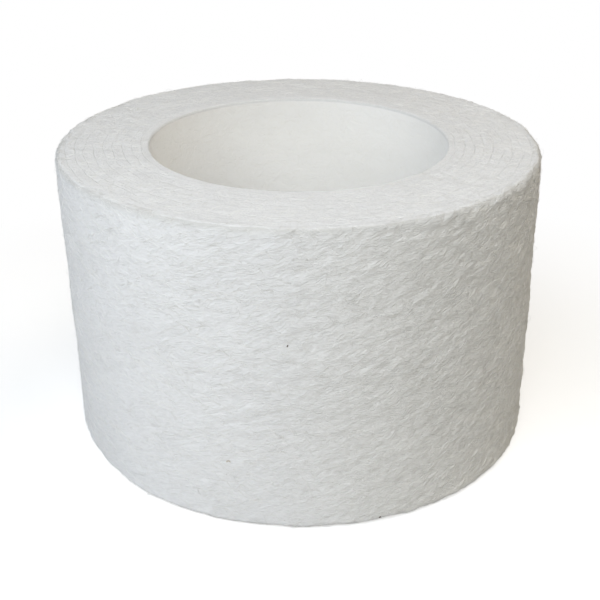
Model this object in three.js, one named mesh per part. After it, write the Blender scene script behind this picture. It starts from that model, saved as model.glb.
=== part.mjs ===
// A felt polishing wheel: a thick ring of non-woven felt, laid up as concentric layers.
// Millimetres. +Z is the wheel's axis, and the origin is the centre of the end it stands on.

import * as THREE from 'three';
import { mergeVertices } from 'three/addons/utils/BufferGeometryUtils.js';

// Driving dimensions
const outerDiameter = 101.6;
const boreDiameter = 63.5;
const faceWidth = 63.5; // end to end along the axis
const boreSkinThickness = 1.5; // dense layer that lines the bore
const outerSkinThickness = 1.9; // wrapped layer that is the working face
const plyCount = 8; // soft felt layers between the two skins
const bondLine = 0.1; // gap left between two layers
const shoulderRadius = 1.2; // worn round on the outer edges
const mouthRadius = 0.6; // softened edge at each bore mouth

// How finely curves are cut up
const sidesRound = 72;
const sidesPerCorner = 4;

// Derived from the driving dimensions
const outerRadius = outerDiameter / 2;
const boreRadius = boreDiameter / 2;
const plyZoneInner = boreRadius + boreSkinThickness + bondLine;
const plyZoneOuter = outerRadius - outerSkinThickness - bondLine;
const plyThickness = (plyZoneOuter - plyZoneInner - (plyCount - 1) * bondLine) / plyCount;
const plyPitch = plyThickness + bondLine;

// The corner of a ring's section at (radius, height), rounded by `round`. The arc starts at
// `startAngle` and turns a quarter anticlockwise round a centre that lies inside the section.
function corner(radius, height, round, startAngle) {
  if (round === 0) return [new THREE.Vector2(radius, height)];
  const middle = startAngle + Math.PI / 4;
  const centreRadius = radius - Math.sign(Math.cos(middle)) * round;
  const centreHeight = height - Math.sign(Math.sin(middle)) * round;
  const points = [];
  for (let i = 0; i <= sidesPerCorner; i++) {
    const angle = startAngle + (i / sidesPerCorner) * (Math.PI / 2);
    const x = centreRadius + round * Math.cos(angle);
    const y = centreHeight + round * Math.sin(angle);
    points.push(new THREE.Vector2(x, y));
  }
  return points;
}

// A ring from `inner` to `outer` radius over the whole face width, as one closed body.
function ringGeometry(inner, outer, innerRound, outerRound) {
  const section = [
    ...corner(inner, 0, innerRound, Math.PI),
    ...corner(outer, 0, outerRound, -Math.PI / 2),
    ...corner(outer, faceWidth, outerRound, 0),
    ...corner(inner, faceWidth, innerRound, Math.PI / 2),
  ];
  section.push(section[0].clone());
  const turned = new THREE.LatheGeometry(section, sidesRound);
  turned.deleteAttribute('normal');
  turned.deleteAttribute('uv');
  const closed = mergeVertices(turned);
  closed.rotateX(Math.PI / 2); // the lathe turns about Y, the wheel about Z
  closed.computeVertexNormals();
  return closed;
}

function feltMaterial(color, roughness) {
  return new THREE.MeshStandardMaterial({ color, roughness, metalness: 0 });
}

function namedMesh(name, geometry, material) {
  const mesh = new THREE.Mesh(geometry, material);
  mesh.name = name;
  return mesh;
}

function boreSkin() {
  const geometry = ringGeometry(boreRadius, boreRadius + boreSkinThickness, mouthRadius, 0);
  return namedMesh('bore_skin', geometry, feltMaterial(0xe6e4d8, 0.85));
}

function feltPly(number) {
  const inner = plyZoneInner + (number - 1) * plyPitch;
  const geometry = ringGeometry(inner, inner + plyThickness, 0, 0);
  return namedMesh(`felt_ply_${number}`, geometry, feltMaterial(0xe4e4e2, 0.95));
}

function outerSkin() {
  const geometry = ringGeometry(outerRadius - outerSkinThickness, outerRadius, 0, shoulderRadius);
  return namedMesh('outer_skin', geometry, feltMaterial(0xe8e8e6, 0.92));
}

const wheel = new THREE.Group();
wheel.add(boreSkin());
for (let number = 1; number <= plyCount; number++) wheel.add(feltPly(number));
wheel.add(outerSkin());

export default wheel;
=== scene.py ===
"""A felt polishing wheel: a thick ring of white non-woven felt, laid up in plies round a dense bore skin.

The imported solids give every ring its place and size. This script lays a felt surface over each of them,
wraps and tangles loose fibres on it, and lights it softly. Lengths are in metres.
"""

import math

import bpy
import numpy as np
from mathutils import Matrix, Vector


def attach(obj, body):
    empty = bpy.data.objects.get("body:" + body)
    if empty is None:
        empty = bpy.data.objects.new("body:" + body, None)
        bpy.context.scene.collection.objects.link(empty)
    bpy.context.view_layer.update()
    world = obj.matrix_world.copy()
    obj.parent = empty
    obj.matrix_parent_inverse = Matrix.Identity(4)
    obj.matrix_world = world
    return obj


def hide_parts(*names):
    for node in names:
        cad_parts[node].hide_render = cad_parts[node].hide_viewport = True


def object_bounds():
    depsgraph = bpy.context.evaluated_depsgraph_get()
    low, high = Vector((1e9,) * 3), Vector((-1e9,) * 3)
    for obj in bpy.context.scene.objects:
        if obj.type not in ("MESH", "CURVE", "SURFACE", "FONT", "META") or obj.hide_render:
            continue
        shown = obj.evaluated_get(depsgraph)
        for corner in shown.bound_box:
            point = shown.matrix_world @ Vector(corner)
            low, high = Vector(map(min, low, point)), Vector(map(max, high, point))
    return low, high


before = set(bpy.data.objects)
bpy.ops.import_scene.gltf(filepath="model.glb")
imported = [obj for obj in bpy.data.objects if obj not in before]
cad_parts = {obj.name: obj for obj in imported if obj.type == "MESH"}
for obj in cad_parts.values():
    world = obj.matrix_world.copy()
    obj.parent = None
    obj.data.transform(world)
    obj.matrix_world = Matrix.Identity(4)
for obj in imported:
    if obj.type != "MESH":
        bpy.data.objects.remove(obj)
cad_low, cad_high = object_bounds()

MM = 0.001

# The wheel's sizes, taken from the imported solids
PLIES = sorted((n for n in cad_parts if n.startswith("felt_ply_")), key=lambda n: int(n.split("_")[-1]))


def ring_radii(node):
    """The inner and outer radius of a ring-shaped solid."""
    points = np.array([v.co[:2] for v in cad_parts[node].data.vertices])
    radii = np.hypot(points[:, 0], points[:, 1])
    return float(radii.min()), float(radii.max())


BORE_RADIUS, BORE_SKIN_OUTER = ring_radii("bore_skin")
OUTER_SKIN_INNER, OUTER_RADIUS = ring_radii("outer_skin")
PLY_RADII = [ring_radii(n) for n in PLIES]
WIDTH = cad_high[2] - cad_low[2]

# Where one layer meets the next: the middle of each bond
BONDS = [(BORE_SKIN_OUTER + PLY_RADII[0][0]) / 2]
BONDS += [(a[1] + b[0]) / 2 for a, b in zip(PLY_RADII, PLY_RADII[1:])]
BONDS += [(PLY_RADII[-1][1] + OUTER_SKIN_INNER) / 2]
SHOULDER = 1.2 * MM  # worn round on the outer edges
MOUTH = 0.5 * MM  # softened edge at each bore mouth


# ---------------------------------------------------------------- relief of the felt


WAVES_ACROSS = 0.6  # the strongest waves in a lay of fibre, counted across one ridge's width


class Relief:
    """A height map of matted fibre that repeats at all its edges, scaled to a chosen rms steepness."""

    def __init__(self, size, cells, lays, steepness, seed):
        """Each of lays is (angle from the first direction, ridge length, ridge width, share of the whole)."""
        self.size, self.cells = size, cells
        along = np.fft.fftfreq(cells[0], size[0] / cells[0])[:, None]
        across = np.fft.fftfreq(cells[1], size[1] / cells[1])[None, :]
        spectrum = 0
        for angle, length, width, share in lays:
            c, s = math.cos(angle), math.sin(angle)
            down_ridge = (along * c + across * s) * length
            over_ridge = (across * c - along * s) * width
            band = np.exp(-(down_ridge**2) - 2 * (np.abs(over_ridge) - WAVES_ACROSS) ** 2)
            spectrum = spectrum + share * width * math.sqrt(length * width) * band
        noise = np.random.default_rng(seed).standard_normal(cells)
        height = np.fft.ifft2(np.fft.fft2(noise) * spectrum).real
        slopes = np.gradient(height, size[0] / cells[0], size[1] / cells[1])
        self.height = (height - height.mean()) * steepness / math.sqrt(sum((d**2).mean() for d in slopes))

    def at(self, first, second):
        """The height in metres at places along the two directions, blended between cells."""
        i = np.asarray(first) / self.size[0] * self.cells[0]
        j = np.asarray(second) / self.size[1] * self.cells[1]
        i0, j0 = np.floor(i).astype(int), np.floor(j).astype(int)
        u, v = i - i0, j - j0
        i0, j0 = i0 % self.cells[0], j0 % self.cells[1]
        i1, j1 = (i0 + 1) % self.cells[0], (j0 + 1) % self.cells[1]
        h = self.height
        near = h[i0, j0] * (1 - u) + h[i1, j0] * u
        far = h[i0, j1] * (1 - u) + h[i1, j1] * u
        return near * (1 - v) + far * v


DEG = math.pi / 180
FULL_TURN = 2 * math.pi
GIRTH = FULL_TURN * OUTER_RADIUS
BORE_GIRTH = FULL_TURN * BORE_RADIUS

# Crimped fibre lies round the wheel, crossing itself at small angles, in tufts of every size
face_mat = Relief(
    (GIRTH, 0.08), (1600, 400),
    [(14 * DEG, 1.9 * MM, 0.8 * MM, 1.0), (-16 * DEG, 1.9 * MM, 0.8 * MM, 0.8),
     (42 * DEG, 1.6 * MM, 0.9 * MM, 0.5),
     (22 * DEG, 2.6 * MM, 1.7 * MM, 0.7), (-14 * DEG, 2.4 * MM, 1.6 * MM, 0.5),
     (12 * DEG, 5 * MM, 3.4 * MM, 0.35), (-8 * DEG, 5 * MM, 3.4 * MM, 0.25),
     (8 * DEG, 14 * MM, 8 * MM, 0.15)],
    steepness=0.155, seed=11,
)
face_swells = Relief((GIRTH, 0.16), (256, 128), [(0, 40 * MM, 22 * MM, 1.0)], steepness=0.02, seed=13)
bore_mat = Relief(
    (BORE_GIRTH, 0.08), (1000, 400),
    [(32 * DEG, 4 * MM, 1.1 * MM, 1.0), (-32 * DEG, 4 * MM, 1.1 * MM, 1.0), (0, 9 * MM, 5 * MM, 0.4)],
    steepness=0.035, seed=14,
)

# Cut fibre stands up in tufts that lie no one way
END_TUFTS = [(0, 1.1 * MM, 0.8 * MM, 1.0), (90 * DEG, 1.1 * MM, 0.8 * MM, 1.0),
             (45 * DEG, 2.2 * MM, 1.6 * MM, 0.7), (-45 * DEG, 4.5 * MM, 3.4 * MM, 0.5),
             (0, 10 * MM, 8 * MM, 0.4)]
lower_end_mat = Relief((0.12, 0.12), (600, 600), END_TUFTS, steepness=0.11, seed=15)
upper_end_mat = Relief((0.12, 0.12), (600, 600), END_TUFTS, steepness=0.11, seed=16)

# How the bond lines come and go round an end, as a share
groove_wear = Relief((FULL_TURN, 0.03), (512, 32), [(0, 0.12, 2.0 * MM, 1.0)], steepness=1.0, seed=19)
groove_wear.height /= groove_wear.height.std()

# How the edges are worn, and how far the layers wander in and out, each scaled to an rms depth
EDGE_WEAR_DEPTH = 0.08 * MM
LAYER_DRIFT = 0.16 * MM
edge_wear = Relief(
    (GIRTH, 0.08), (1000, 200),
    [(0, 7 * MM, 5 * MM, 1.0), (0, 2.5 * MM, 2.5 * MM, 0.3)],
    steepness=1.0, seed=20,
)
edge_wear.height *= EDGE_WEAR_DEPTH / edge_wear.height.std()
layer_drift = Relief((FULL_TURN, 0.12), (512, 256), [(0, 0.22, 5 * MM, 1.0)], steepness=1.0, seed=17)
layer_drift.height *= LAYER_DRIFT / layer_drift.height.std()

GROOVE_DEPTH = 0.003 * MM
GROOVE_HALF_WIDTH = 0.35 * MM
GROOVE_WANDER = 0.12 * MM
STANDING_TUFTS = 0.16 * MM  # how far the lower end is off the bench, which only its highest tufts touch
BORE_PILE = 0.12 * MM  # soft fibre that stands in from the bore's own radius

# One foot of the wheel is rubbed down a little more than the rest
RUBBED_AT, RUBBED_SPREAD = 215 * DEG, 16 * DEG
RUBBED_DEPTH, RUBBED_HEIGHT = 0.6 * MM, 8 * MM

ROUGHER_SIDE = 0.6  # how much rougher than the mean the face is at angle 0, and smoother opposite
MAT_START = 37 * MM  # how far the mat's pattern is turned round the wheel

# The face and its shoulders lie outside the first radius, the bore and its mouths inside the second
FACE_FROM = OUTER_RADIUS - SHOULDER * 1.01
BORE_UP_TO = BORE_RADIUS + MOUTH * 1.01


def face_lift(theta, z):
    """How far the working face stands out at an angle and height."""
    around = theta * OUTER_RADIUS
    aside = (theta - RUBBED_AT + math.pi) % FULL_TURN - math.pi
    rubbed = RUBBED_DEPTH * np.exp(-((aside / RUBBED_SPREAD) ** 2) - (z / RUBBED_HEIGHT) ** 2)
    roughness = 1 + ROUGHER_SIDE * np.cos(theta)
    return face_swells.at(around, z) + roughness * face_mat.at(around + MAT_START, z) - rubbed


def end_lift(theta, radius, upper):
    """How far a cut end stands out: tufts of cut fibre, and a faint broken groove at each bond.

    The tufts stand half as high at the front and the back as at the sides.
    """
    x, y = radius * np.cos(theta), radius * np.sin(theta)
    tufts = upper_end_mat.at(x, y) if upper else lower_end_mat.at(x, y)
    lift = (0.5 + 0.5 * np.cos(theta) ** 2) * tufts - (0 if upper else STANDING_TUFTS)
    for bond in BONDS:
        # Read a radian further on, so that a groove's wander has no tie to its depth
        wander = GROOVE_WANDER * groove_wear.at(theta + 1, bond + MM)
        groove = np.exp(-(((radius - bond - wander) / GROOVE_HALF_WIDTH) ** 2))
        unworn = np.clip(0.3 + 1.2 * groove_wear.at(theta, bond), 0, 2.4)
        lift = lift - GROOVE_DEPTH * groove * unworn
    return lift


def bore_lift(theta, z):
    """How far the bore's wall stands in towards the axis."""
    return BORE_PILE + bore_mat.at(theta * BORE_RADIUS, z)


def felt_lift(theta, radius, z, normal_r, normal_z):
    """The relief of the whole wheel's skin, blended from its faces by which way the skin looks."""
    on_face = np.clip(normal_r, 0, 1) ** 2 * (radius > FACE_FROM)
    on_bore = np.clip(-normal_r, 0, 1) ** 2 * (radius < BORE_UP_TO)
    end = np.where(z > WIDTH / 2, end_lift(theta, radius, True), end_lift(theta, radius, False))
    on_edge = 2 * np.abs(normal_r * normal_z) * (radius > FACE_FROM)
    worn = on_edge * edge_wear.at(theta * OUTER_RADIUS, z)
    return on_face * face_lift(theta, z) + on_bore * bore_lift(theta, z) + normal_z**2 * end + worn


LEAN = 0.6 * MM  # the ends were not cut quite square, so the wheel leans a little


def settle(points):
    """Leans the wheel as it stands, and lets no point go below the bench."""
    points[..., 0] -= LEAN * (points[..., 2] / WIDTH - 0.5)
    points[..., 2] = np.maximum(points[..., 2], 0)
    return points


def skin_point(theta, radius, z, normal_r, normal_z, lift):
    """A point of the wheel's skin, moved out along the skin's own direction.

    The layers aren't quite round, and drift in and out, but not within 1 mm of the bore or the shoulder.
    """
    off_bore = np.clip((radius - BORE_RADIUS - MOUTH) / MM, 0, 1)
    off_shoulder = np.clip((OUTER_RADIUS - SHOULDER - radius) / MM, 0, 1)
    r = radius + normal_r * lift + off_bore * off_shoulder * layer_drift.at(theta, radius)
    return settle(np.stack([r * np.cos(theta), r * np.sin(theta), z + normal_z * lift], -1))


# ---------------------------------------------------------------- meshes


def new_piece(name, points, faces, corner_map, material, smooth=None):
    """A mesh object that rides on the wheel, from arrays of points, four-sided faces and map corners."""
    mesh = bpy.data.meshes.new(name)
    mesh.vertices.add(len(points))
    mesh.vertices.foreach_set("co", points.astype(np.float32).ravel())
    mesh.loops.add(faces.size)
    mesh.loops.foreach_set("vertex_index", faces.astype(np.int32).ravel())
    mesh.polygons.add(len(faces))
    mesh.polygons.foreach_set("loop_start", np.arange(0, faces.size, 4, dtype=np.int32))
    mesh.polygons.foreach_set("use_smooth", np.ones(len(faces), bool) if smooth is None else smooth)
    mesh.uv_layers.new(name="OFBake").data.foreach_set("uv", corner_map.astype(np.float32).ravel())
    mesh.update(calc_edges=True)
    mesh.materials.append(material)
    piece = bpy.data.objects.new(name, mesh)
    bpy.context.scene.collection.objects.link(piece)
    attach(piece, "root")
    return piece


def arc(centre_r, centre_z, round_, start, count):
    """A quarter circle in the section, anticlockwise from the angle start."""
    angle = start + np.linspace(0, math.pi / 2, count + 1)
    return np.stack([centre_r + round_ * np.cos(angle), centre_z + round_ * np.sin(angle)], 1)


def line(start, end, step):
    """Points from start to end about a step apart, both ends included."""
    count = max(1, round(math.dist(start, end) / step))
    return np.linspace(start, end, count + 1)


def joined(first, *others):
    """One run of points from stretches that each start where the one before ends."""
    return np.concatenate([first, *(stretch[1:] for stretch in others)])


def normals_along(path):
    """Which way the felt's skin looks at each point of an anticlockwise run through the section."""
    run = np.gradient(path, axis=0)
    run /= np.linalg.norm(run, axis=1, keepdims=True)
    return np.stack([run[:, 1], -run[:, 0]], 1)


TUCK = 0.05 * MM  # how far each layer reaches in behind its neighbour
TUCK_DEPTH = 0.4 * MM  # and how far below the cut end it does so
HIDDEN_SPAN = 0.2 * MM  # the room in the surface map for each face of a hidden wall
MAP_MARGIN = 0.004  # left free along the edges of each band of the surface map


def ring_piece(node, skins, around, strips, material):
    """The closed ring of one layer, carried round the axis.

    skins are the runs of (radius, height) points that can be seen, anticlockwise. A hidden wall joins
    each to the next, tucked in behind the neighbouring layer. around is how many faces go round the ring,
    and strips how many bands its surface map is cut into.
    """
    theta = (np.arange(around) * FULL_TURN / around)[:, None]
    columns, spans, seen = [], [], []
    for skin, following in zip(skins, skins[1:] + skins[:1]):
        parts = (theta, *skin.T, *normals_along(skin).T)
        angle, radius, z, out, up = (np.broadcast_to(part, (around, len(skin))) for part in parts)
        columns.append(skin_point(angle, radius, z, out, up, felt_lift(angle, radius, z, out, up)))
        spans += [math.dist(*pair) for pair in zip(skin, skin[1:])]
        seen += [True] * (len(skin) - 1)
        way = math.copysign(1, following[0][1] - skin[-1][1])
        tuck = way * np.array([TUCK, TUCK_DEPTH])
        wall = np.array([skin[-1] + tuck, following[0] + tuck * (1, -1)])
        angle, radius, z = (np.broadcast_to(part, (around, 2)) for part in (theta, *wall.T))
        columns.append(skin_point(angle, radius, z, 0, 0, 0))
        spans += [HIDDEN_SPAN] * 3
        seen += [False] * 3
    points = np.concatenate(columns, 1)
    count = points.shape[1]
    j, i = (part.ravel() for part in np.meshgrid(np.arange(around), np.arange(count), indexing="ij"))
    j1, i1 = (j + 1) % around, (i + 1) % count
    faces = np.stack([j * count + i, j1 * count + i, j1 * count + i1, j * count + i1], 1)
    run = np.concatenate([[0], np.cumsum(spans)]) / sum(spans)
    per_strip = around // strips
    strip = j // per_strip
    u0 = j / per_strip - strip
    u1 = u0 + 1 / per_strip
    u = MAP_MARGIN + (1 - 2 * MAP_MARGIN) * np.stack([u0, u1, u1, u0], 1)
    v = MAP_MARGIN + (1 - 2 * MAP_MARGIN) * np.stack([run[i], run[i], run[i + 1], run[i + 1]], 1)
    corner_map = np.stack([u, (strip[:, None] + v) / strips], -1)
    smooth = np.tile(seen, around)
    piece = new_piece(node + "_felt", points.reshape(-1, 3), faces, corner_map, material, smooth)
    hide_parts(node)


# Mesh spacing across the cut ends, up the working face and down the bore's wall
FINE = 0.2 * MM
FACE_SPACING = 0.34 * MM
BORE_SPACING = 0.5 * MM


def bore_ring(material):
    """The dense inner skin, with a softened mouth at each end."""
    inner, outer = BORE_RADIUS, BONDS[0]
    skin = joined(
        line((outer, WIDTH), (inner + MOUTH, WIDTH), FINE),
        arc(inner + MOUTH, WIDTH - MOUTH, MOUTH, math.pi / 2, 5),
        line((inner, WIDTH - MOUTH), (inner, MOUTH), BORE_SPACING),
        arc(inner + MOUTH, MOUTH, MOUTH, math.pi, 5),
        line((inner + MOUTH, 0), (outer, 0), FINE),
    )
    ring_piece("bore_skin", [skin], around=640, strips=2, material=material)


def ply_ring(number, material):
    """One soft layer: only its two cut ends can be seen."""
    inner, outer = BONDS[number - 1], BONDS[number]
    lower = line((inner, 0), (outer, 0), FINE)
    upper = line((outer, WIDTH), (inner, WIDTH), FINE)
    ring_piece(PLIES[number - 1], [lower, upper], around=1080, strips=8, material=material)


def outer_ring(material):
    """The outermost layer with the working face and both worn shoulders."""
    inner, outer = BONDS[-1], OUTER_RADIUS
    skin = joined(
        line((inner, 0), (outer - SHOULDER, 0), FINE),
        arc(outer - SHOULDER, SHOULDER, SHOULDER, -math.pi / 2, 7),
        line((outer, SHOULDER), (outer, WIDTH - SHOULDER), FACE_SPACING),
        arc(outer - SHOULDER, WIDTH - SHOULDER, SHOULDER, 0, 7),
        line((outer - SHOULDER, WIDTH), (inner, WIDTH), FINE),
    )
    ring_piece("outer_skin", [skin], around=1080, strips=3, material=material)


# ---------------------------------------------------------------- loose fibres


class Skin:
    """A run along the wheel's section that fibres are laid on, measured from its start."""

    def __init__(self, path):
        self.path = path
        self.normal = normals_along(path)
        self.run = np.concatenate([[0], np.cumsum(np.linalg.norm(np.diff(path, axis=0), axis=1))])
        self.length = self.run[-1]

    def at(self, t):
        """Radius, height and the two parts of the skin's direction at distances t along the run."""
        columns = (self.path[:, 0], self.path[:, 1], self.normal[:, 0], self.normal[:, 1])
        return [np.interp(t, self.run, c) for c in columns]


STRAND_CORNERS = np.array([90, 210, 330]) * DEG  # the first is the ridge along its top
CELL_MARGINS = 0.06, 0.08  # left free in a strand's cell of the surface map, along the strand and across


def fibre_piece(name, points, up, thickness, material):
    """Many thin three-sided strands as one mesh, each with a long low cell of the surface map to itself.

    points is (strand, step, 3), and up is which way the skin under each point looks.
    """
    strands, steps = points.shape[:2]
    ahead = np.gradient(points, axis=1)
    ahead /= np.linalg.norm(ahead, axis=2, keepdims=True) + 1e-12
    side = np.cross(ahead, up)
    side /= np.linalg.norm(side, axis=2, keepdims=True) + 1e-12
    up = np.cross(side, ahead)
    aside, upward = (turn(STRAND_CORNERS)[None, None, :, None] for turn in (np.cos, np.sin))
    outward = aside * side[:, :, None] + upward * up[:, :, None]
    ring = points[:, :, None] + thickness[:, :, None, None] / 2 * outward
    ring[..., 2] = np.maximum(ring[..., 2], 0)
    sides = len(STRAND_CORNERS)
    base = (np.arange(strands) * steps * sides)[:, None, None]
    step = (np.arange(steps - 1) * sides)[None, :, None]
    c = np.arange(sides)[None, None, :]
    c1 = (c + 1) % sides
    first = base + step
    faces = np.stack([first + c, first + c1, first + sides + c1, first + sides + c], -1)
    rows_per_column = 8
    columns = math.ceil(math.sqrt(strands / rows_per_column))
    rows = math.ceil(strands / columns)
    cell = np.arange(strands)
    left = (cell % columns)[:, None, None] / columns
    low = (cell // columns)[:, None, None] / rows
    s0 = (np.arange(steps - 1) / (steps - 1))[None, :, None]
    s1 = s0 + 1 / (steps - 1)
    margin_u, margin_v = CELL_MARGINS
    u0, u1 = (left + (margin_u + (1 - 2 * margin_u) * s) / columns for s in (s0, s1))
    v0, v1 = (low + (margin_v + (1 - 2 * margin_v) * corner / sides) / rows for corner in (c, c + 1))
    u0, u1, v0, v1 = np.broadcast_arrays(u0, u1, v0, v1)
    corner_map = np.stack([np.stack([u0, u0, u1, u1], -1), np.stack([v0, v1, v1, v0], -1)], -1)
    corner_map = corner_map.reshape(-1, 4, 2)
    new_piece(name, ring.reshape(-1, 3), faces.reshape(-1, 4), corner_map, material)


def tapered(strands, steps, thickest, rng):
    """Strand thickness from end to end: even along its length and drawn out fine at both ends."""
    s = np.linspace(0, 1, steps)[None, :]
    width = thickest * rng.uniform(0.65, 1.25, (strands, 1))
    tip = 0.12
    return width * (tip + (1 - tip) * np.clip(np.sin(math.pi * s) * 3, 0, 1))


CRIMP_LENGTHS = 2.2 * MM, 4.5 * MM
CRIMP_ANGLES = 0.15, 0.5


def laid_fibres(name, skin, count, steps, lay, spread, lengths, thickest, material, seed):
    """Crimped fibres that lie on a skin, each at its own angle to the wheel's turn, sinking in at its ends.

    lay and spread are the mean and the spread of that angle, and lengths the (usual, shortest, longest).
    """
    rng = np.random.default_rng(seed)
    length = np.clip(rng.lognormal(math.log(lengths[0]), 0.45, (count, 1)), *lengths[1:])
    s = np.linspace(-0.5, 0.5, steps)[None, :]
    heading = lay + spread * rng.standard_normal((count, 1))
    bend = rng.normal(0, 0.5, (count, 1)) * s + rng.normal(0, 1.2, (count, 1)) * s**2
    crimps = length / rng.uniform(*CRIMP_LENGTHS, (count, 1))
    crimp = rng.uniform(*CRIMP_ANGLES, (count, 1)) * np.sin(FULL_TURN * (crimps * s + rng.random((count, 1))))
    course = heading + bend + crimp
    step = length / (steps - 1)
    forward = np.cumsum(np.cos(course) * step, axis=1)
    upward = np.cumsum(np.sin(course) * step, axis=1)
    t = rng.uniform(0, skin.length, (count, 1)) + upward - upward.mean(1, keepdims=True)
    inside = ((t > 0) & (t < skin.length)).all(1)
    t, forward = t[inside], forward[inside]
    count = len(t)
    radius, z, normal_r, normal_z = skin.at(t)
    theta = rng.uniform(0, FULL_TURN, (count, 1)) + forward / radius.mean(1, keepdims=True)
    thickness = tapered(count, steps, thickest, rng)
    rise = np.clip(np.cos(math.pi * s) * 2.2, 0, 1) - 0.75
    # Over and under its neighbours
    weave = 0.4 * np.sin(FULL_TURN * (rng.uniform(1.5, 4.0, (count, 1)) * s + rng.random((count, 1))))
    lift = felt_lift(theta, radius, z, normal_r, normal_z) + thickest * 0.6 * (rise + weave)
    points = skin_point(theta, radius, z, normal_r, normal_z, lift)
    up = np.stack([normal_r * np.cos(theta), normal_r * np.sin(theta), normal_z], -1)
    fibre_piece(name, points, up, thickness, material)


def end_fibres(name, upper, count, steps, lengths, thickest, material, seed):
    """Short lengths of fibre left lying on a cut end, every way and a little more often along the plies."""
    rng = np.random.default_rng(seed)
    length = np.clip(rng.lognormal(math.log(lengths[0]), 0.5, (count, 1)), *lengths[1:])
    s = np.linspace(-0.5, 0.5, steps)[None, :]
    radius = np.sqrt(rng.uniform((BORE_RADIUS + MOUTH) ** 2, (OUTER_RADIUS - SHOULDER) ** 2, (count, 1)))
    theta = rng.uniform(0, FULL_TURN, (count, 1))
    slant = rng.normal(0, 1.4, (count, 1))
    course = theta + math.pi / 2 + slant + rng.normal(0, 1.0, (count, 1)) * s
    step = length / (steps - 1)
    x = np.cumsum(np.cos(course) * step, axis=1)
    y = np.cumsum(np.sin(course) * step, axis=1)
    x = radius * np.cos(theta) + x - x.mean(1, keepdims=True)
    y = radius * np.sin(theta) + y - y.mean(1, keepdims=True)
    around, out = np.arctan2(y, x), np.hypot(x, y)
    inside = ((out > BORE_RADIUS + MOUTH) & (out < OUTER_RADIUS - SHOULDER)).all(1)
    around, out = around[inside], out[inside]
    count = len(out)
    facing = 1 if upper else -1
    height = np.full_like(out, WIDTH if upper else 0)
    rise = np.clip(np.cos(math.pi * s) * 2, 0, 1) - 1.0
    lift = end_lift(around, out, upper) + thickest * 0.5 * rise
    nothing = np.zeros_like(out)
    points = skin_point(around, out, height, nothing, nothing + facing, lift)
    up = np.zeros_like(points)
    up[..., 2] = facing
    fibre_piece(name, points, up, tapered(count, steps, thickest, rng), material)


FREE_SHARE = 0.35  # of the loops, those that stand with one end free


def loose_loops(name, skin, count, steps, span, height, thickest, material, seed):
    """Fine fibre loops and ends that stand off the skin."""
    rng = np.random.default_rng(seed)
    s = np.linspace(0, 1, steps)[None, :]
    reach = span * rng.lognormal(0, 0.5, (count, 1))
    heading = rng.uniform(-1.2, 1.2, (count, 1)) + rng.normal(0, 0.8, (count, 1)) * s
    forward = np.cumsum(np.cos(heading) * reach / steps, axis=1)
    t = rng.uniform(0, skin.length, (count, 1)) + np.cumsum(np.sin(heading) * reach / steps, axis=1)
    inside = ((t > 0) & (t < skin.length)).all(1)
    t, forward = t[inside], forward[inside]
    count = len(t)
    radius, z, normal_r, normal_z = skin.at(t)
    theta = rng.uniform(0, FULL_TURN, (count, 1)) + forward / radius.mean(1, keepdims=True)
    peak = height * rng.lognormal(0, 0.5, (count, 1))
    free = rng.random((count, 1)) < FREE_SHARE
    shape = np.where(free, s**1.4, np.sin(math.pi * s))
    lift = felt_lift(theta, radius, z, normal_r, normal_z) + peak * shape - 0.2 * thickest
    points = skin_point(theta, radius, z, normal_r, normal_z, lift)
    up = np.stack([normal_r * np.cos(theta), normal_r * np.sin(theta), normal_z], -1)
    fibre_piece(name, points, up, tapered(count, steps, thickest, rng), material)


def stray_specks(name, spots, length, thickest, material, seed):
    """Tiny curled bits of stray thread caught in the working face, at spots of (angle, height)."""
    rng = np.random.default_rng(seed)
    angle, height = (np.array(part)[:, None] for part in zip(*spots))
    steps = 7
    proud = 0.06 * MM
    s = np.linspace(0, 1, steps)[None, :]
    heading = rng.uniform(0, FULL_TURN, (len(spots), 1)) + rng.uniform(2.5, 4.0, (len(spots), 1)) * s
    reach = length * rng.uniform(0.8, 1.2, (len(spots), 1))
    theta = angle + np.cumsum(np.cos(heading) * reach / (steps - 1), axis=1) / OUTER_RADIUS
    z = height + np.cumsum(np.sin(heading) * reach / (steps - 1), axis=1)
    ones = np.ones_like(theta)
    points = skin_point(theta, OUTER_RADIUS * ones, z, ones, 0 * ones, face_lift(theta, z) + proud)
    up = np.stack([np.cos(theta), np.sin(theta), 0 * ones], -1)
    fibre_piece(name, points, up, tapered(len(spots), steps, thickest, rng), material)


# ---------------------------------------------------------------- finishes


class Wire:
    """A socket's value that can be used in sums: each operation adds the Math node that does it."""

    def __init__(self, bench, socket):
        self.bench, self.socket = bench, socket

    def maths(self, operation, *others):
        return self.bench.node("ShaderNodeMath", {"operation": operation}, (self, *others))

    def __add__(self, other):
        return self.maths("ADD", other)

    def __radd__(self, other):
        return self + other

    def __sub__(self, other):
        return self.maths("SUBTRACT", other)

    def __rsub__(self, other):
        return self.maths("MULTIPLY_ADD", -1, other)

    def __mul__(self, other):
        return self.maths("MULTIPLY", other)

    def __rmul__(self, other):
        return self * other

    def __truediv__(self, other):
        return self.maths("DIVIDE", other)


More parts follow.
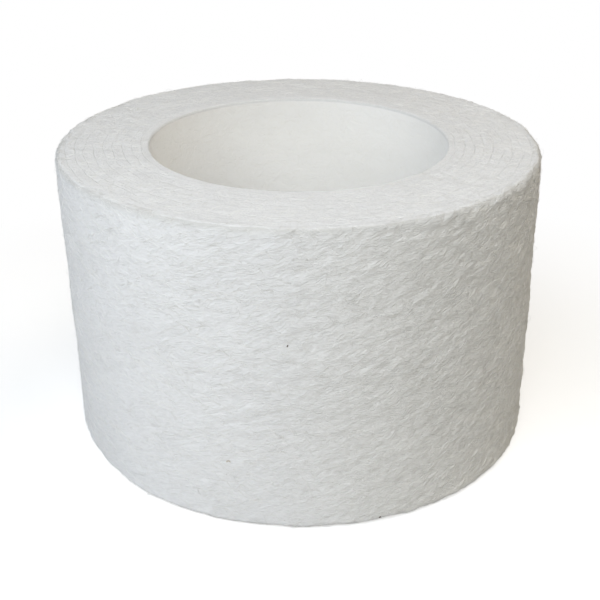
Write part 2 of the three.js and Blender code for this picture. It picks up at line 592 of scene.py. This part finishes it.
class Bench:
    """The node tree of one finish or of the room, and the one place where its nodes are made."""

    def __init__(self, owner):
        owner.use_nodes = True
        self.owner, self.tree = owner, owner.node_tree
        self.tree.nodes.clear()

    def node(self, kind, settings=None, sockets=(), out=0):
        """Makes a node: its settings first, then its sockets' values or links, by order or by name."""
        made = self.tree.nodes.new(kind)
        for key, value in (settings or {}).items():
            setattr(made, key, value)
        named = sockets.items() if isinstance(sockets, dict) else enumerate(sockets)
        for key, value in named:
            if isinstance(value, Wire):
                self.tree.links.new(value.socket, made.inputs[key])
            else:
                made.inputs[key].default_value = value
        return Wire(self, made.outputs[out]) if made.outputs else made

    def noise(self, place, scale, detail=2.0, roughness=0.5, distortion=0.0):
        sockets = {"Vector": place, "Scale": scale, "Detail": detail}
        sockets.update({"Roughness": roughness, "Distortion": distortion})
        return self.node("ShaderNodeTexNoise", None, sockets)

    def wound(self, place, rise):
        """Places unrolled from round the axis: along a fibre that rises at an angle, out, and across it."""
        x, y, z = (self.node("ShaderNodeSeparateXYZ", None, (place,), out=part) for part in range(3))
        around = OUTER_RADIUS * x.maths("ARCTAN2", 0 - y)
        c, s = math.cos(rise), math.sin(rise)
        level = self.stretched(place, (1, 1, 0))
        out = self.node("ShaderNodeVectorMath", {"operation": "LENGTH"}, {0: level}, out=1)
        return self.node("ShaderNodeCombineXYZ", None, (c * around + s * z, out, c * z - s * around))

    def matted(self, place, across, stretch, crimp, shift, bend=1.3):
        """Crimped fibres as a height from 0 to 1, about across of them to a metre of z.

        Each runs stretch times as far the other ways. crimp is about how many bends it has in a metre,
        bend how far they swing it, and shift picks a patch of the pattern.
        """
        start = (shift, 2 * shift, -shift)
        moved = self.node("ShaderNodeVectorMath", {"operation": "ADD"}, {0: place, 1: start})
        crimping = {"Vector": moved, "Scale": crimp, "Detail": 1.0}
        wander = self.node("ShaderNodeTexNoise", None, crimping, out=1)
        swing = (bend / crimp, bend / crimp, bend / crimp)
        sockets = {0: wander, 1: swing, 2: moved}
        bent = self.node("ShaderNodeVectorMath", {"operation": "MULTIPLY_ADD"}, sockets)
        strands = self.noise(self.stretched(bent, (1, 1, stretch)), across / stretch, detail=1)
        off_ridge = (strands - 0.5).maths("ABSOLUTE")
        steepness = 6.5
        return self.clamp(1 - steepness * off_ridge)

    def blend(self, share, low, high):
        """A colour between two others."""
        sockets = {0: share, 6: low, 7: high}
        return self.node("ShaderNodeMix", {"data_type": "RGBA"}, sockets, out=2)

    def clamp(self, value):
        return self.node("ShaderNodeClamp", None, {"Value": value, "Min": 0.0, "Max": 1.0})

    def stretched(self, place, by):
        """Places scaled along each axis: a pattern drawn on them runs long where the factor is small."""
        return self.node("ShaderNodeVectorMath", {"operation": "MULTIPLY"}, {0: place, 1: by})

    def bump(self, height, distance, strength=1.0):
        sockets = {"Strength": strength, "Distance": distance, "Height": height}
        return self.node("ShaderNodeBump", None, sockets)

    def near_ends(self, place, reach, fade):
        """1 within reach of the height of either cut end, fading to 0 beyond that."""
        height = self.node("ShaderNodeSeparateXYZ", None, (place,), out=2)
        off_middle = (height - WIDTH / 2).maths("ABSOLUTE")
        return self.clamp((off_middle - (WIDTH / 2 - reach - fade)) / fade)

    def cut_felt(self, place):
        """The tone and the height of felt cut across: pits between fibres, in every direction alike. The tone
        is painted darker in the pits, as shade, over random mottling.
        """
        cut = self.matted(place, across=1500, stretch=1.0, crimp=380, shift=0.2)
        pits = self.noise(place, 2100, roughness=0.6, distortion=0.3)
        mottle = self.noise(place, 90)
        # The pits set the colour as well as the height, so the colour is painted darker in the pits, as
        # shade; the mottle is random tone.
        tone = 0.4 * pits + 0.3 * cut + 0.3 * mottle
        aside = self.node("ShaderNodeSeparateXYZ", None, (place,), out=0).maths("ABSOLUTE")
        depth = 0.6 + aside * (0.65 / OUTER_RADIUS)  # deeper to either side than at the front and the back
        return self.clamp(2.0 * (tone - 0.2)), depth * (0.5 * pits + 0.35 * cut)

    def finish(self, colour, roughness, normal, **plain):
        """The felt's own shader. Everything in plain is the same all over."""
        sockets = {"Base Color": colour, "Roughness": roughness, "Normal": normal}
        sockets.update(plain)
        surface = self.node("ShaderNodeBsdfPrincipled", None, sockets)
        self.node("ShaderNodeOutputMaterial", None, {"Surface": surface})
        return self.owner


def white(level, warmth=0.0):
    """A near-white colour. Warmth takes out blue and adds a little red, and below 0 it does the opposite."""
    return (level * (1 + 0.25 * warmth), level, level * (1 - warmth), 1)


# Cut felt is painted towards the lower colour in its pits, as shade, and random mottling moves it between the
# two as well.
CUT_LOW, CUT_HIGH = white(0.80, -0.01), white(0.90, -0.01)  # in the pits of cut felt, and on its fibres
# A grey for painted shade: it darkens a band round each shoulder of the face and each mouth of the bore,
# where the lamps light the rounded edge brightly.
PAINTED_SHADE_GREY = white(0.70, 0.02)


def face_finish():
    """The working face: fine crimped fibre, matted in two layers, over soft mottling, painted darker between
    the fibres and on a band round each shoulder, as shade.

    It stands up more on the wheel's +X side, and its colour there is painted warmer, for the warm light that
    falls on that side.
    """
    b = Bench(bpy.data.materials.new("face_felt_finish"))
    place = b.node("ShaderNodeTexCoord", out="Object")
    upper = b.matted(b.wound(place, 19 * DEG), across=1700, stretch=4.5, crimp=260, shift=0.3, bend=0.55)
    lower = b.matted(b.wound(place, -13 * DEG), across=2900, stretch=3.5, crimp=420, shift=0.7, bend=0.6)
    mottle = b.noise(place, 90, detail=3)
    mat = upper.maths("MAXIMUM", 0.8 * lower)
    aside = b.node("ShaderNodeSeparateXYZ", None, (place,), out=0) / OUTER_RADIUS
    # The tone follows the matted fibre as well as random mottling, so the colour is painted darker where the
    # fibre lies low, as shade between fibres.
    tone = b.clamp(0.65 * mat + 0.7 * mottle - 0.12)
    # Painted warm light: towards +X the colour turns warmer, where the warm lamps fall.
    plain_tint = b.blend(tone, white(0.785, -0.005), white(0.90, -0.01))
    warm_light_tint = b.blend(tone, white(0.78, 0.055), white(0.89, 0.04))
    laid = b.blend(b.clamp(0.1 + 1.1 * aside), plain_tint, warm_light_tint)
    cut_tone, cut_height = b.cut_felt(place)
    ends = b.near_ends(place, reach=0.25 * MM, fade=0.6 * MM)
    on_top = b.near_ends(place, reach=0.02 * MM, fade=0.12 * MM)
    # Painted shade on a band round each shoulder, which darkens the bright band the lamps light there.
    edge = b.near_ends(place, reach=0.4 * MM, fade=0.9 * MM) * (1 - on_top)
    cut = b.blend(cut_tone, CUT_LOW, CUT_HIGH)
    colour = b.blend(edge, b.blend(ends, laid, cut), PAINTED_SHADE_GREY)
    raised = 1.04 + aside * (0.85 + 0.85 * aside)
    height = raised * (0.6 * upper + 0.4 * lower) * (1 - 0.6 * ends) + ends * cut_height
    normal = b.bump(height, 0.1 * MM)
    roughness = 0.98 - 0.12 * mat
    return b.finish(colour, roughness, normal, **{"Specular IOR Level": 0.25, "Sheen Weight": 0.1})


def ply_finish():
    """The cut ends of the soft layers."""
    b = Bench(bpy.data.materials.new("ply_felt_finish"))
    place = b.node("ShaderNodeTexCoord", out="Object")
    tone, height = b.cut_felt(place)
    # Painted darker in the pits, as shade, through cut_felt's tone.
    colour = b.blend(tone, CUT_LOW, CUT_HIGH)
    normal = b.bump(height, 0.11 * MM)
    roughness = 0.98 - 0.1 * tone
    return b.finish(colour, roughness, normal, **{"Specular IOR Level": 0.2, "Sheen Weight": 0.1})


def bore_finish():
    """The bore's wall, pressed smooth against the former and a little creamier, with ends of cut felt. Its
    very pale colour is partly its own creamy felt and partly painted light, for the light the felt lets
    through and bounces round the bore; it is painted darker between the fibres and grey on each mouth's
    rounded edge, as shade.
    """
    b = Bench(bpy.data.materials.new("bore_felt_finish"))
    place = b.node("ShaderNodeTexCoord", out="Object")
    weave = b.matted(place, across=1300, stretch=1.8, crimp=300, shift=0.5)
    mottle = b.noise(place, 60, detail=3)
    # The tone follows the weave as well as random mottling, so the colour is painted darker where the weave
    # lies low, as shade. The wall's pale colours are partly painted light, for light that reaches into the
    # bore.
    tone = 0.4 * weave + 0.6 * mottle
    wall = b.blend(b.clamp(1.8 * (tone - 0.2)), white(0.97, 0.022), white(0.985, 0.012))
    cut_tone, cut_height = b.cut_felt(place)
    ends = b.near_ends(place, reach=0.35 * MM, fade=0.35 * MM)
    # Painted shade on a band just below each mouth's rim, which darkens the rounded edge the lamps light
    # brightly.
    edge = ends * (1 - b.near_ends(place, reach=0.02 * MM, fade=0.12 * MM))
    cut = b.blend(cut_tone, CUT_LOW, CUT_HIGH)
    colour = b.blend(0.6 * edge, b.blend(ends, wall, cut), PAINTED_SHADE_GREY)
    normal = b.bump(0.32 * weave * (1 - ends) + ends * cut_height, 0.11 * MM)
    roughness = 0.86 - 0.1 * weave
    soft = {"Specular IOR Level": 0.3, "Sheen Weight": 1.0, "Sheen Roughness": 0.45}
    return b.finish(colour, roughness, normal, **soft)


def fibre_finish(name, low, high):
    """Single fibres, whose colour changes a little along each one, between low and high."""
    b = Bench(bpy.data.materials.new(name))
    place = b.node("ShaderNodeTexCoord", out="Object")
    along = b.noise(place, 160)
    grain = b.noise(place, 2400, detail=1)
    colour = b.blend(b.clamp(2.0 * (along - 0.25)), low, high)
    normal = b.bump(grain, 0.01 * MM, strength=0.4)
    roughness = 0.55 + 0.2 * along
    return b.finish(colour, roughness, normal, **{"Specular IOR Level": 0.4})


# ---------------------------------------------------------------- the wheel

face_felt = face_finish()
ply_felt = ply_finish()
bore_felt = bore_finish()
face_fibre = fibre_finish("face_fibre_finish", white(0.82, 0.02), white(0.92, 0.01))
# As pale as the bore's wall, and partly painted light like it.
bore_fibre = fibre_finish("bore_fibre_finish", white(0.93, 0.035), white(0.955, 0.02))

outer_ring(face_felt)
for ply_number in range(1, len(PLIES) + 1):
    ply_ring(ply_number, ply_felt)
bore_ring(bore_felt)

# What the face's fibres lie on: the lower shoulder, the working face, and over onto the upper end
WRAPPED_OVER = 2.4 * MM
wrap = Skin(joined(
    arc(OUTER_RADIUS - SHOULDER, SHOULDER, SHOULDER, -math.pi / 2, 12),
    line((OUTER_RADIUS, SHOULDER), (OUTER_RADIUS, WIDTH - SHOULDER), 1 * MM),
    arc(OUTER_RADIUS - SHOULDER, WIDTH - SHOULDER, SHOULDER, 0, 12),
    line((OUTER_RADIUS - SHOULDER, WIDTH), (OUTER_RADIUS - WRAPPED_OVER, WIDTH), 0.4 * MM),
))
bore_wall = Skin(line((BORE_RADIUS, WIDTH - MOUTH), (BORE_RADIUS, MOUTH), 1 * MM))

# Usual, shortest and longest fibres
FACE_LENGTHS = (7 * MM, 3 * MM, 18 * MM)
LONG_LENGTHS = (22 * MM, 14 * MM, 34 * MM)
BORE_LENGTHS = (6 * MM, 3 * MM, 14 * MM)
END_LENGTHS = (2.4 * MM, 1.0 * MM, 6 * MM)

laid_fibres(
    "rising_face_fibres", wrap, count=2200, steps=15, lay=16 * DEG, spread=13 * DEG,
    lengths=FACE_LENGTHS, thickest=0.1 * MM, material=face_fibre, seed=21,
)
laid_fibres(
    "falling_face_fibres", wrap, count=2200, steps=15, lay=-15 * DEG, spread=14 * DEG,
    lengths=FACE_LENGTHS, thickest=0.1 * MM, material=face_fibre, seed=22,
)
laid_fibres(
    "long_face_fibres", wrap, count=90, steps=29, lay=3 * DEG, spread=16 * DEG,
    lengths=LONG_LENGTHS, thickest=0.13 * MM, material=face_fibre, seed=29,
)
laid_fibres(
    "bore_wall_fibres", bore_wall, count=1300, steps=9, lay=0, spread=34 * DEG,
    lengths=BORE_LENGTHS, thickest=0.05 * MM, material=bore_fibre, seed=23,
)
for end_name, is_upper, end_seed in (("upper_end_fibres", True, 24), ("lower_end_fibres", False, 25)):
    end_fibres(
        end_name, is_upper, count=3600, steps=6,
        lengths=END_LENGTHS, thickest=0.08 * MM, material=face_fibre, seed=end_seed,
    )

upper_shoulder = Skin(arc(OUTER_RADIUS - SHOULDER, WIDTH - SHOULDER, SHOULDER, 0, 12))
loose_loops(
    "shoulder_fuzz", upper_shoulder, count=900, steps=7, span=1.6 * MM, height=0.14 * MM,
    thickest=0.05 * MM, material=face_fibre, seed=26,
)
loose_loops(
    "face_fuzz", wrap, count=5200, steps=7, span=1.7 * MM, height=0.2 * MM,
    thickest=0.055 * MM, material=face_fibre, seed=27,
)

dark = fibre_finish("dark_speck_finish", (0.09, 0.06, 0.05, 1), (0.16, 0.11, 0.09, 1))
straw = fibre_finish("straw_thread_finish", (0.42, 0.30, 0.15, 1), (0.55, 0.42, 0.25, 1))
dark_spots = [(267.3 * DEG, 41.0 * MM), (287.5 * DEG, 1.1 * MM)]
straw_spots = [(254.6 * DEG, 14.4 * MM)]
stray_specks("dark_specks", dark_spots, length=0.6 * MM, thickest=0.24 * MM, material=dark, seed=28)
stray_specks("straw_thread", straw_spots, length=1.5 * MM, thickest=0.13 * MM, material=straw, seed=30)


# ---------------------------------------------------------------- bench, lamps and camera


def bench_top():
    """A pale bench the wheel stands on. It keeps the wheel's soft shadow, and fades to white all round."""
    mesh = bpy.data.meshes.new("bench_top")
    half = 3.0
    corners = [(-half, -half, 0), (half, -half, 0), (half, half, 0), (-half, half, 0)]
    mesh.from_pydata(corners, [], [(0, 1, 2, 3)])
    top = bpy.data.objects.new("bench_top", mesh)
    bpy.context.scene.collection.objects.link(top)
    b = Bench(bpy.data.materials.new("bench_white"))
    place = b.node("ShaderNodeTexCoord", out="Object")
    away = b.node("ShaderNodeVectorMath", {"operation": "LENGTH"}, {0: place}, out=1)
    fade_from, fade_over = 1.25 * OUTER_RADIUS, 1.6 * OUTER_RADIUS
    faded = b.clamp((away - fade_from) / fade_over)
    matt = b.node("ShaderNodeBsdfDiffuse", None, {"Color": (0.8, 0.8, 0.8, 1)})
    glow = b.node("ShaderNodeEmission", None, {"Color": (1, 1, 1, 1), "Strength": 0.5})
    blank = b.node("ShaderNodeEmission", None, {"Color": (1, 1, 1, 1), "Strength": 1.0})
    near = b.node("ShaderNodeAddShader", None, (matt, glow))
    seen = b.node("ShaderNodeMixShader", None, (faded, near, blank))
    camera_ray = b.node("ShaderNodeLightPath", out="Is Camera Ray")
    both = b.node("ShaderNodeMixShader", None, (camera_ray, matt, seen))
    b.node("ShaderNodeOutputMaterial", None, {"Surface": both})
    mesh.materials.append(b.owner)


def lamp(name, azimuth, elevation, distance, size, power, colour):
    """A square soft lamp aimed at the wheel's middle. In degrees: azimuth 0 is in front, 90 to the right."""
    data = bpy.data.lights.new(name, "AREA")
    data.shape, data.size, data.energy, data.color = "SQUARE", size, power, colour
    lit = bpy.data.objects.new(name, data)
    a, e = azimuth * DEG, elevation * DEG
    away = Vector((math.sin(a) * math.cos(e), -math.cos(a) * math.cos(e), math.sin(e)))
    lit.location = Vector((0, 0, WIDTH / 2)) + distance * away
    lit.rotation_euler = away.to_track_quat("Z", "Y").to_euler()
    bpy.context.scene.collection.objects.link(lit)


def surroundings(strength):
    """A pale, slightly warm room, which the camera sees as white."""
    world = bpy.data.worlds.new("pale_room")
    bpy.context.scene.world = world
    b = Bench(world)
    camera_ray = b.node("ShaderNodeLightPath", out="Is Camera Ray")
    colour = b.blend(camera_ray, (1.0, 0.95, 0.88, 1), (1, 1, 1, 1))
    level = camera_ray.maths("MAXIMUM", strength)
    room = b.node("ShaderNodeBackground", None, {"Color": colour, "Strength": level})
    b.node("ShaderNodeOutputWorld", None, {"Surface": room})


def camera():
    """Looks down on the wheel from the front."""
    data = bpy.data.cameras.new("camera")
    data.sensor_width, data.lens = 36.0, 63.85
    data.clip_start = 0.01
    eye = bpy.data.objects.new("camera", data)
    elevation, distance = 24.83 * DEG, 240.8 * MM
    middle = Vector((0, 0, WIDTH / 2))
    eye.location = middle + distance * Vector((0, -math.cos(elevation), math.sin(elevation)))
    aim_below_middle = 6.5 * MM
    aim = middle - Vector((0, 0, aim_below_middle))
    eye.rotation_euler = (aim - eye.location).to_track_quat("-Z", "Y").to_euler()
    bpy.context.scene.collection.objects.link(eye)
    bpy.context.scene.camera = eye


bench_top()
surroundings(strength=0.02)

# The lamps on the left are a little blue, and the others warm, most of all the one at the back
lamp("front_window", 0, 28, distance=0.8, size=0.5, power=1.73, colour=(1.0, 0.955, 0.87))
lamp("left_front_window", -30, 45, distance=0.35, size=0.25, power=0.62, colour=(0.87, 0.94, 1.0))
lamp("overhead_lamp", 78, 70, distance=0.3, size=0.15, power=0.175, colour=(1.0, 0.97, 0.94))
lamp("right_high_lamp", 100, 50, distance=0.6, size=0.3, power=0.225, colour=(1.0, 0.90, 0.74))
lamp("back_window", 124, 36, distance=0.5, size=0.3, power=0.40, colour=(1.0, 0.88, 0.66))
lamp("left_window", -88, 20, distance=0.7, size=0.4, power=0.91, colour=(0.87, 0.92, 1.0))
camera()
bpy.context.scene.view_settings.view_transform = "Standard"
